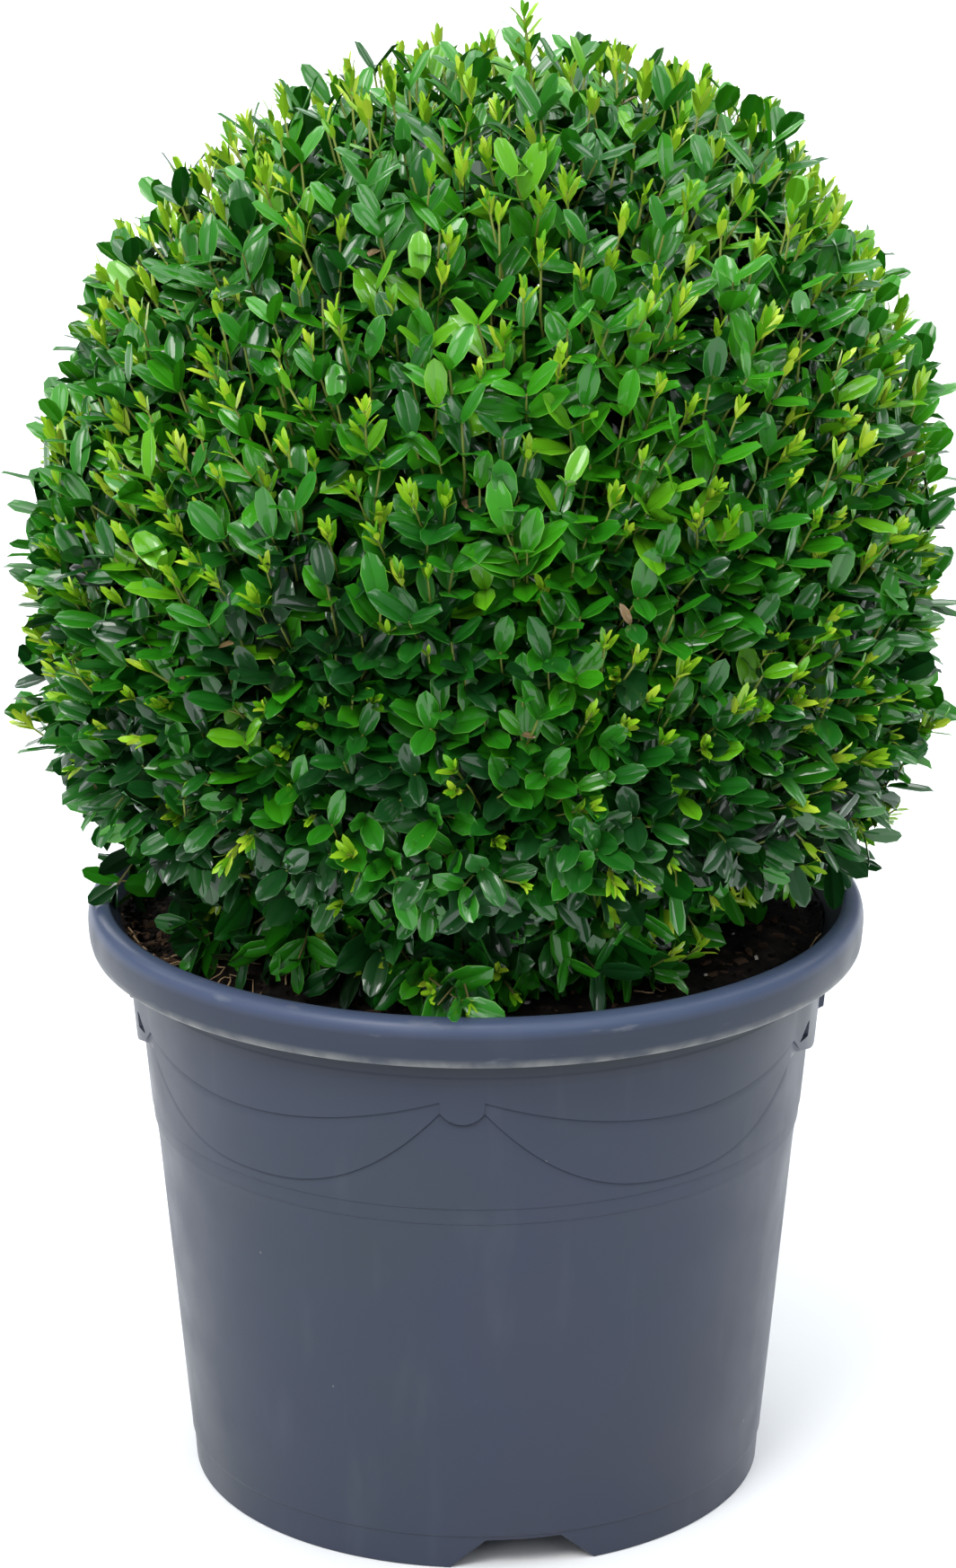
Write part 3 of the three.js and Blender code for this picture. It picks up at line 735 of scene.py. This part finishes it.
# ---- crown surface
CROWN_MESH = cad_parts["foliage_ball"].data
CROWN = BVHTree.FromPolygons(
    [Vector(v.co) / MM for v in CROWN_MESH.vertices], [tuple(p.vertices) for p in CROWN_MESH.polygons])
CROWN_MIDDLE = np.array([0, 0, CROWN_LOW[2] + 0.36 * (CROWN_HIGH[2] - CROWN_LOW[2])])
FORK = np.array([*(STEM_LOW + STEM_HIGH)[:2] / 2, STEM_HIGH[2] + 6])
LIMBS = sorted(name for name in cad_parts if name.startswith("bough_"))


def even_directions(count, lowest):
    """Directions spread evenly by the golden angle, above a lowest elevation."""
    index = np.arange(count) + 0.5
    height = 1 - 2 * index / count
    turn = math.pi * (1 + math.sqrt(5)) * index
    flat = np.sqrt(1 - height ** 2)
    all_round = np.stack([flat * np.cos(turn), flat * np.sin(turn), height], -1)
    return all_round[height > math.sin(math.radians(lowest))]


def crown_points(count, lowest, jitter):
    """Places on the clipped surface and their outward normals."""
    wanted = unit(even_directions(count, lowest) + rng.normal(0, jitter, (1, 1)))
    wanted = unit(wanted + rng.normal(0, jitter, wanted.shape))
    rays = [CROWN.ray_cast(Vector(CROWN_MIDDLE + head * 400), Vector(-head)) for head in wanted]
    places, normals = (np.array([ray[k] for ray in rays if ray[0] is not None]) for k in (0, 1))
    return places, unit(unit(places - CROWN_MIDDLE) + 0.6 * normals)


# ---- branching
class Strands:
    """Many cubic curves at once: branches, or the stems of shoots."""

    def grow_from(self, parents, feet, pull):
        """Starts each curve at the parent's end nearest to its foot; returns the spans."""
        parent = [np.argmin(((parents.ends - foot) ** 2).sum(1)) for foot in feet]
        self.starts = parents.ends[parent]
        span = np.linalg.norm(self.ends - self.starts, axis=1, keepdims=True)
        self.control_1 = self.starts + parents.heads[parent] * span * pull
        return span

    def at(self, t):
        """Places and directions on the curves; t has a row of shares for each."""
        t = t[..., None]
        a, b, c, d = (v[:, None] for v in (self.starts, self.control_1, self.control_2, self.ends))
        place = (1 - t) ** 3 * a + 3 * t * (1 - t) ** 2 * b + 3 * t * t * (1 - t) * c + t ** 3 * d
        return place, unit(3 * (1 - t) ** 2 * (b - a) + 6 * t * (1 - t) * (c - b) + 3 * t * t * (d - c))

    def build(self, name, steps, thick, sides, material):
        """Writes the curves as joined tubes, from the first radius to the last."""
        paths = self.at(np.broadcast_to(np.linspace(0, 1, steps), (len(self.ends), steps)))[0]
        radii = np.broadcast_to(np.linspace(*thick, steps), paths.shape[:2])
        finish_piece(write_mesh(name, *tubes(paths, radii, sides), [material]), "bark")


class BoughEnds:
    """The tip and heading of each CAD bough."""

    def __init__(self):
        tips, heads = [], []
        for node in LIMBS:
            points = np.array([v.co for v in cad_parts[node].data.vertices]) / MM
            far = np.linalg.norm(points - FORK, axis=1)
            tips.append(points[far > far.max() - 4].mean(0))
            heads.append(unit(tips[-1] - points.mean(0)))
        self.ends, self.heads = np.array(tips), np.array(heads)


class Level(Strands):
    """One generation of branches: where each ends and how it heads."""

    def __init__(self, ends, parents):
        self.ends = ends
        span = self.grow_from(parents, ends, 0.35)
        outward = unit(ends - CROWN_MIDDLE)
        self.heads = unit(unit(ends - self.starts) + 0.5 * outward + 0.25 * UP)
        self.control_2 = ends - self.heads * span * 0.35


def grow_branches():
    """Three generations of branches, each growing on from the last."""
    levels = [BoughEnds()]
    for count, reach in ((44, 0.42), (210, 0.60), (620, 0.74)):
        surface, _ = crown_points(count, -46, 0.06)
        places = FORK + (surface - FORK) * (reach + rng.uniform(-0.05, 0.05, (len(surface), 1)))
        levels.append(Level(places, levels[-1]))
    return levels[1:]


# ---- leaves
# Outline of a leaf: share of the length, and half-width as a share of the widest.
OUTLINES = {
    "fine": [(0.0, 0.0), (0.11, 0.42), (0.34, 0.87), (0.66, 0.98), (0.91, 0.60), (1.0, 0.0)],
    "coarse": [(0.0, 0.0), (0.18, 0.56), (0.50, 1.0), (0.86, 0.70), (1.0, 0.0)],
}
# Each strip of a half-blade: where it ends, and 1 where it is the pale margin.
RIBBED = ((0.55, 0), (0.93, 0), (1.0, 1))
CURVED = ((0.55, 0), (1.0, 0))
FLAT = ((1.0, 0),)


def leaf_template(outline, strips):
    """Vertices as (along, width share, side share, side sign); faces with their tint group."""
    stations = OUTLINES[outline]
    vertices, faces = [], []
    for sign in (-1, 1):
        inner = [len(vertices) + k for k in range(len(stations))]
        vertices += [(*station, 0.0, sign) for station in stations]
        for share, margin in strips:
            outer = [inner[0], *(len(vertices) + k for k in range(len(stations) - 2)), inner[-1]]
            vertices += [(*station, share, sign) for station in stations[1:-1]]
            for a, b, c, d in zip(inner, outer, outer[1:], inner[1:]):
                faces.append((list(dict.fromkeys((a, b, c, d)))[::sign], margin))
            inner = outer
    return vertices, faces


def write_leaves(batches, name, outline, strips, slot, nodes=()):
    """Writes the leaves as joined pieces, split by azimuth."""
    leaf = {field: np.concatenate([batch[field] for batch in batches]) for field in batches[0]}
    vertices, faces = leaf_template(outline, strips)
    triangles = sum(len(corners) - 2 for corners, _ in faces)
    order = np.argsort(np.arctan2(leaf["base"][:, 0], -leaf["base"][:, 1]), kind="stable")
    pieces = math.ceil(len(order) / (PIECE_TRIANGLES // triangles))
    for part, chosen in enumerate(np.array_split(order, pieces)):
        points = leaf_points({k: v[chosen] for k, v in leaf.items()}, vertices)
        polygons, slots = [], []
        for size in (3, 4):
            corners, groups = zip(*(face for face in faces if len(face[0]) == size))
            offset = len(vertices) * np.arange(len(chosen))[:, None, None]
            polygons.append((np.array(corners) + offset).reshape(-1, size))
            tint = leaf["tint"][chosen][:, None] + len(LEAF_TINTS) * np.array(groups)
            slots.append(tint.reshape(-1))
        title = name if pieces == 1 else f"{name}_{part + 1}"
        piece = write_mesh(title, points, polygons, LEAVES, np.concatenate(slots))
        finish_piece(piece, slot, *(nodes if part == 0 else ()))


def leaf_points(leaf, vertices):
    """Every vertex of every leaf, from the template and the leaf's size and shape."""
    along, width, share, sign = np.array(vertices).T
    leaf = {field: value[:, None] for field, value in leaf.items()}
    half = leaf["width"] / 2
    across = sign * share * width * half
    spread = np.abs(across)
    height = leaf["fold"] * (spread - 0.85 * spread ** 2 / half)
    height -= leaf["curl"] * leaf["length"] * along ** 2
    reach = along * leaf["length"]
    head, face = leaf["head"], leaf["face"]
    side = unit(np.cross(head, face))
    return leaf["base"] + head * reach[..., None] + side * across[..., None] + face * height[..., None]


def square_to(face, head):
    """The face direction made square to the heading."""
    return unit(face - (face * head).sum(-1, keepdims=True) * head)


# ---- shoots
class Shoots(Strands):
    """Leafy shoots on the branches, with opposite pairs of leaves set crosswise."""

    def __init__(
            self, tips, heads, outward, parents, lengths, pairs, growing, tints,
            dead=0.0, young_spread=8):
        self.ends, self.outward, self.lengths, self.pairs = tips, outward, lengths, pairs
        self.growing, self.tints, self.dead = growing, tints, dead
        self.young_spread = young_spread  # degrees between the stem and its youngest leaves
        span = self.grow_from(parents, tips - heads * lengths[:, None], 0.3)
        self.control_2 = tips - heads * np.minimum(span * 0.55, lengths[:, None])
        self.span = span[:, 0] * 1.06


STEM = (5, (0.95, 0.5), 3)  # steps, first and last radius, and sides
FRONT_PAIRS = 2  # pairs of a shoot that get the pale leaf margin
WITHERED_LENGTH = 0.42  # share that a withered leaf keeps
# Ranges for young leaves and for grown ones: gap between pairs, length, and width by length.
GAPS = ((1.2, 2.8), (7.5, 12.0))
LENGTHS = ((9, 13), (19, 24.5))
RATIOS = ((0.24, 0.34), (0.44, 0.54))
YOUNG_TINTS = ["bright", "lime", "lime", "yellow"]
UPPER_TINTS = ["dark", "mid", "mid", "mid", "fresh", "fresh", "bright"]
LOWER_TINTS = ["deep", "deep", "dark", "dark", "mid"]


def pick_tints(names, count):
    return rng.choice([TINT[name] for name in names], count)


def deal_tints(freshness):
    """A tint for each shoot: fresher towards the crown's top, deeper towards its foot, partly as painted
    shade.
    """
    upper, lower = (pick_tints(tints, len(freshness)) for tints in (UPPER_TINTS, LOWER_TINTS))
    return np.where(rng.random(len(upper)) < smooth((freshness - 0.06) / 0.8), upper, lower)


def by_age(young, ranges):
    """Random values, from the first range for young leaves, else from the second."""
    return np.where(young, *(rng.uniform(*limits, len(young)) for limits in ranges))


def leaf_shoots(shoots, targets):
    """Sets pairs of leaves along every shoot, from the tip down.

    targets holds the lists for the front pairs, the pairs below them and the young leaves.
    """
    count = len(shoots.ends)
    roll = rng.uniform(0, math.pi, count)
    below_tip = np.zeros(count)
    vigour = rng.uniform(0.86, 1.12, count)
    for pair in range(int(shoots.pairs.max())):
        growing = shoots.growing > pair
        gap = by_age(growing, GAPS)
        if pair == 0:
            gap = rng.uniform(0.2, 0.8, count)
        below_tip = below_tip + gap
        alive = (pair < shoots.pairs) & (below_tip < shoots.lengths * 1.1)
        alive &= growing | (rng.random(count) > 0.05)
        t = np.clip(1 - below_tip / shoots.span, 0, 1)[:, None]
        base, axis = (v[:, 0] for v in shoots.at(t))
        turn = (roll + pair * math.pi / 2 + rng.normal(0, 0.16, count))[:, None]
        helper = square_to(shoots.outward + 1e-3, axis)
        other = np.cross(axis, helper)
        age = np.clip((pair - shoots.growing + 0.5) / 3.0, 0, 1)
        for sign in (-1, 1):
            radial = sign * (np.cos(turn) * other + np.sin(turn) * helper)
            spread = np.radians(np.where(growing, shoots.young_spread + 5 * pair, 26 + 38 * age))
            spread = spread + rng.normal(0, 0.12, count) * np.where(growing, 0.4, 1)
            cos, sin = np.cos(spread)[:, None], np.sin(spread)[:, None]
            head = unit(cos * axis + sin * radial)
            face = sin * axis - cos * radial
            face = face + 0.20 * shoots.outward + 0.40 * UP + rng.normal(0, 0.13, (count, 3))
            face = square_to(face, head)
            size = np.where(growing, 0.8 + 0.12 * pair, 0.74 + 0.26 * smooth(age * 2))
            length = vigour * (by_age(growing, LENGTHS) * size)
            ratio = by_age(growing, RATIOS)
            # lower pairs get a deeper tint: partly their age, partly painted shade deeper in the crown
            older_and_shaded = (1.4 * age > rng.uniform(0.2, 1.8, count)).astype(int)
            tint = np.clip(shoots.tints - older_and_shaded, 0, TINT["bright"])
            withered = rng.random(count) < shoots.dead
            tint = np.where(withered, TINT["tan"], tint)
            length = length * np.where(withered, WITHERED_LENGTH, 1)
            tint = np.where(growing, pick_tints(YOUNG_TINTS, count), tint)
            leaf = dict(
                base=base, head=head, face=face, tint=tint, length=length, width=length * ratio,
                curl=rng.uniform(0.02, 0.26, count) + 0.4 * withered,
                fold=rng.uniform(0.4, 0.95, count))
            front = pair < FRONT_PAIRS + shoots.growing
            for group, target in zip((~growing & front, ~growing & ~front, growing), targets):
                target.append({field: value[alive & group] for field, value in leaf.items()})


SURFACE_SHOOTS = 2050  # over the whole sphere
LOWEST_SHOOT = -50
SIDE_FRESHNESS = 0.14  # the sides are as fresh as places that much higher
LEAF_REACH = 13.0  # how far leaves reach beyond the tip of their shoot
YOUNG_REACH = 7.0
OPENING_AZIMUTH = -50.0  # here the crown's foot is open over the compost
OPENING_WIDTH = 26.0
OPENING_DEPTH = 24.0
# Uneven clipping: a direction, how deep the cut is there, and how narrow.
UNEVEN_CLIPPING = [
    ((0.74, 0.0, 0.67), 9.0, 40),
    ((-0.90, 0.0, 0.43), 8.0, 40),
    ((-0.72, 0.0, 0.69), -5.0, 60),
]
# By share of the crown's height: turn upwards, depth of the tip and chance of still growing.
RISE = ([0, 0.1, 0.25, 0.5, 0.8, 1], [-0.4, 0, 0.5, 0.9, 1, 0.8])
SET_IN = ([0, 0.1, 0.25, 0.4, 0.6, 0.8, 1], [-3, -1, 1, -2, -6, -8, -8])
GROWING = ([0, 0.2, 0.6, 1], [0.12, 0.22, 0.36, 0.66])


def patchiness(places, size, seed):
    """Smooth noise at each place, about -1 to 1."""
    return np.array([noise.noise(Vector(p) / size + Vector((seed, 0, 0))) for p in places]) * 1.8


def surface_shoots(levels):
    """The shoots of the clipped surface, with thin and hollow patches."""
    places, outward = crown_points(SURFACE_SHOOTS, LOWEST_SHOOT, 0.012)
    count = len(places)
    share = (places[:, 2] - CROWN_LOW[2]) / (CROWN_HIGH[2] - CROWN_LOW[2])
    rise = np.interp(share, *RISE)[:, None]
    heads = unit(outward + rise * UP + rng.normal(0, 0.2, (count, 3)))
    depth = np.abs(rng.normal(0, 5.0, count)) + 9 * np.clip(patchiness(places, 20, 3), 0, 1)
    depth += np.interp(share, *SET_IN)
    for direction, cut, narrowness in UNEVEN_CLIPPING:
        depth += cut * np.clip(outward @ unit(np.array(direction)), 0, 1) ** narrowness
    azimuth = np.degrees(np.arctan2(places[:, 0], -places[:, 1]))
    opening = np.exp(-((azimuth - OPENING_AZIMUTH) / OPENING_WIDTH) ** 2)
    depth += OPENING_DEPTH * opening * (share < 0.13)
    depth += 26 * np.clip(patchiness(places, 26, 8) - 0.1, 0, 1) * (share < 0.16)
    freshness = share + SIDE_FRESHNESS * outward[:, 0] ** 2
    growing = (rng.random(count) < np.interp(freshness, *GROWING)) * rng.integers(2, 5, count)
    growing *= depth < 14
    reach = np.where(growing > 0, YOUNG_REACH, LEAF_REACH)
    tips = places - heads * reach[:, None] - outward * depth[:, None]
    return Shoots(
        tips, heads, outward, levels[-1], rng.uniform(44, 60, count),
        rng.integers(4, 7, count) + growing, growing, deal_tints(freshness), 0.008)


def inner_shoots(levels):
    """Older shoots whose dark tints are painted shade, filling the surface's gaps."""
    places, outward = crown_points(1000, -44, 0.02)
    count = len(places)
    heads = unit(outward + 0.4 * UP + rng.normal(0, 0.3, (count, 3)))
    tips = places - outward * rng.uniform(30, 50, (count, 1))
    # their dark tints are painted shade; those facing upwards get a tint one step lighter, as painted
    # light
    painted_light_step = (outward[:, 2] > 0).astype(int)
    return Shoots(
        tips, heads, outward, levels[1], rng.uniform(30, 42, count), rng.integers(3, 5, count),
        np.zeros(count, int), pick_tints(["shade", "deep"], count) + painted_light_step, 0.006)


# ---- stray sprays
SPRAY_NODES = sorted(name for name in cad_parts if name.startswith("spray_"))
SPRAY_SHOOTS = 6
SPRAY_LIFT = 10.0  # leaves hang below the tips of their shoots
SPRAY_INSET = 7.0  # and reach beyond them at the sides


def stray_shoots(levels):
    """Shoots of the stray sprays and the top shoot, inside their CAD nodes."""
    rows = []  # tip, heading, outward direction and number of young pairs
    for node in SPRAY_NODES:
        low, high = node_box(node)
        middle, half = (low + high) / 2, (high - low) / 2
        outward = unit(middle - CROWN_MIDDLE)
        along = np.eye(3)[np.argmax(half)]
        if half.max() < 1.4 * np.median(half):
            along = outward
        along = along * np.sign(along @ outward)
        upright = node != "spray_front_low"
        sideways = abs(outward[0]) > 0.7
        middle = middle + SPRAY_LIFT * upright * UP - SPRAY_INSET * sideways * outward
        for index in range(SPRAY_SHOOTS):
            place = middle + along * half * (index / (SPRAY_SHOOTS - 1) * 1.5 - 0.75)
            place = place + rng.uniform(-0.4, 0.4, 3) * half * (1 - np.abs(along))
            head = unit(along + (0.9 if upright else 0.35) * UP + rng.normal(0, 0.25, 3))
            rows.append((place, head, outward, 3 * (index >= SPRAY_SHOOTS - 3)))
    low, high = node_box("shoot_top")
    rows.append(([*(low + high)[:2] / 2, high[2] - 6], UP, unit(np.array([0.2, -1, 0.4])), 4))
    tips, heads, outward, growing = map(np.array, zip(*rows))
    count = len(tips)
    return Shoots(
        tips, heads, outward, levels[-1], rng.uniform(30, 44, count), np.full(count, 6), growing,
        pick_tints(["dark", "mid", "fresh"], count), young_spread=20)


# tints of the drooping shoots, kept dark partly as painted shade under the crown
LOW_TINTS = ["deep", "dark", "mid", "mid"]
# Groups of drooping shoots: count, azimuth, its spread, radii and heights.
LOW_GROUPS = [
    (14, -36, 15, (104, 126), (257, 270)),
    (6, -58, 5, (116, 130), (252, 258)),
    (2, -84, 2, (147, 150), (258, 263)),
    (3, -2, 2, (150, 153), (257, 260)),
    (34, -4, 14, (108, 134), (252, 272)),
    (22, 38, 16, (104, 126), (258, 276)),
    (9, -86, 9, (112, 132), (262, 276)),
    (16, 82, 12, (112, 134), (262, 278)),
    (44, 180, 60, (104, 134), (256, 276)),
]


def low_shoots(levels):
    """Shoots that droop from the crown's foot over the compost."""
    tips = []
    for count, azimuth, spread, radius, height in LOW_GROUPS:
        turn = rng.normal(azimuth, spread, count)
        tips.append(around(rng.uniform(*radius, count), turn, rng.uniform(*height, count)))
    tips = np.concatenate(tips)
    count = len(tips)
    outward = unit(tips - CROWN_MIDDLE)
    flat = unit(outward * (1, 1, 0))
    heads = unit(flat - rng.uniform(0.0, 0.9, (count, 1)) * UP + rng.normal(0, 0.35, (count, 3)))
    growing = (rng.random(count) < 0.16) * 2
    return Shoots(
        tips, heads, flat, levels[-1], rng.uniform(30, 46, count),
        rng.integers(4, 6, count) + growing, growing, pick_tints(LOW_TINTS, count), 0.01)


# ---- stage
FLOOR_CORNERS = [(-30, -30, 0), (30, -30, 0), (30, 30, 0), (-30, 30, 0)]  # metres


def build_stage():
    floor = bpy.data.meshes.new("floor")
    floor.from_pydata(FLOOR_CORNERS, [], [range(4)])
    floor.materials.append(plain("floor_pale", (236, 237, 238), 0.9))
    plane = new_object("floor", floor)


def build_world():
    """Sky light: bright overhead, dim round the horizon."""
    world = bpy.data.worlds.new("studio")
    world.use_nodes = True
    tree = world.node_tree
    sky = ramp(
        tree, upward(tree, "Generated"),
        (0, (0.16, 0.17, 0.18, 1)), (0.35, (0.26, 0.29, 0.32, 1)), (0.9, (1.0, 1.04, 1.1, 1)))
    set_inputs(tree, tree.nodes["Background"], Color=sky)
    bpy.context.scene.world = world


def add_sun(name, direction, angle, strength, color):
    """A distant soft lamp that shines along a direction."""
    light = bpy.data.lights.new(name, "SUN")
    light.angle = math.radians(angle)
    light.energy = strength
    light.color = color
    lamp = new_object(name, light)
    lamp.rotation_euler = Vector(direction).to_track_quat("-Z", "Y").to_euler()


SKY_PATCHES = 12  # bright parts of the sky, for highlights on the leaves
SKY_PATCH_HEIGHTS = (0.34, 0.97)
SKY_PATCH_TURN = 137.5  # degrees from one to the next


def build_lights():
    build_world()
    add_sun("key", (0.45, 0.75, -1.0), 22, 1.3, (1.0, 0.985, 0.95))
    add_sun("overhead", (-0.1, 0.1, -1.0), 60, 0.8, (0.93, 0.97, 1.0))
    for index in range(SKY_PATCHES):
        height = np.interp((index + 0.5) / SKY_PATCHES, [0, 1], SKY_PATCH_HEIGHTS)
        towards = around(math.sqrt(1 - height ** 2), SKY_PATCH_TURN * index + 200, height)
        add_sun(f"sky_patch_{index + 1}", -towards, 20, 0.27, (1, 1, 1))
    bpy.context.scene.view_settings.view_transform = "Standard"


CAMERA_DISTANCE = 1.940
CAMERA_ELEVATION = 17.57
CAMERA_AIM = (0.00075, 0, 0.299)
CAMERA_LENS = 107.2


def build_camera():
    camera = bpy.data.cameras.new("camera")
    camera.lens = CAMERA_LENS
    camera.clip_end = 100
    eye = new_object("camera", camera)
    tilt = math.radians(CAMERA_ELEVATION)
    back = Vector((0, -math.cos(tilt), math.sin(tilt))) * CAMERA_DISTANCE
    eye.location = Vector(CAMERA_AIM) + back
    eye.rotation_euler = (-back).to_track_quat("-Z", "Y").to_euler()
    bpy.context.scene.camera = eye


# ---- assembly
build_camera()
build_stage()
build_lights()
build_pot()
build_soil()
build_crumbs()
build_roots()
build_bark()

levels = grow_branches()
outer = surface_shoots(levels)
inner = inner_shoots(levels)
stray = stray_shoots(levels)
low = low_shoots(levels)
for name, strands, steps, thick, sides, material in (
    ("branches_1", levels[0], 9, (3.4, 2.1), 6, TWIG_BROWN),
    ("branches_2", levels[1], 8, (2.0, 1.3), 5, TWIG_BROWN),
    ("branches_3", levels[2], 7, (1.3, 0.9), 4, TWIG_OLIVE),
    ("shoot_stems", outer, *STEM, TWIG_GREEN),
    ("inner_stems", inner, *STEM, TWIG_OLIVE),
    ("stray_stems", stray, *STEM, TWIG_GREEN),
    ("low_stems", low, *STEM, TWIG_OLIVE),
):
    strands.build(name, steps, thick, sides, material)
front_leaves, side_leaves, inner_leaves, young_leaves = ([] for _ in range(4))
for shoots in (outer, stray, low):
    leaf_shoots(shoots, (front_leaves, side_leaves, young_leaves))
leaf_shoots(inner, (inner_leaves, inner_leaves, inner_leaves))
write_leaves(front_leaves, "leaves", "fine", RIBBED, "leaves", ["foliage_ball", *SPRAY_NODES])
write_leaves(side_leaves, "older_leaves", "fine", CURVED, "leaves")
write_leaves(inner_leaves, "inner_leaves", "coarse", FLAT, "leaves")
write_leaves(young_leaves, "young_leaves", "coarse", FLAT, "young_leaves", ["shoot_top"])
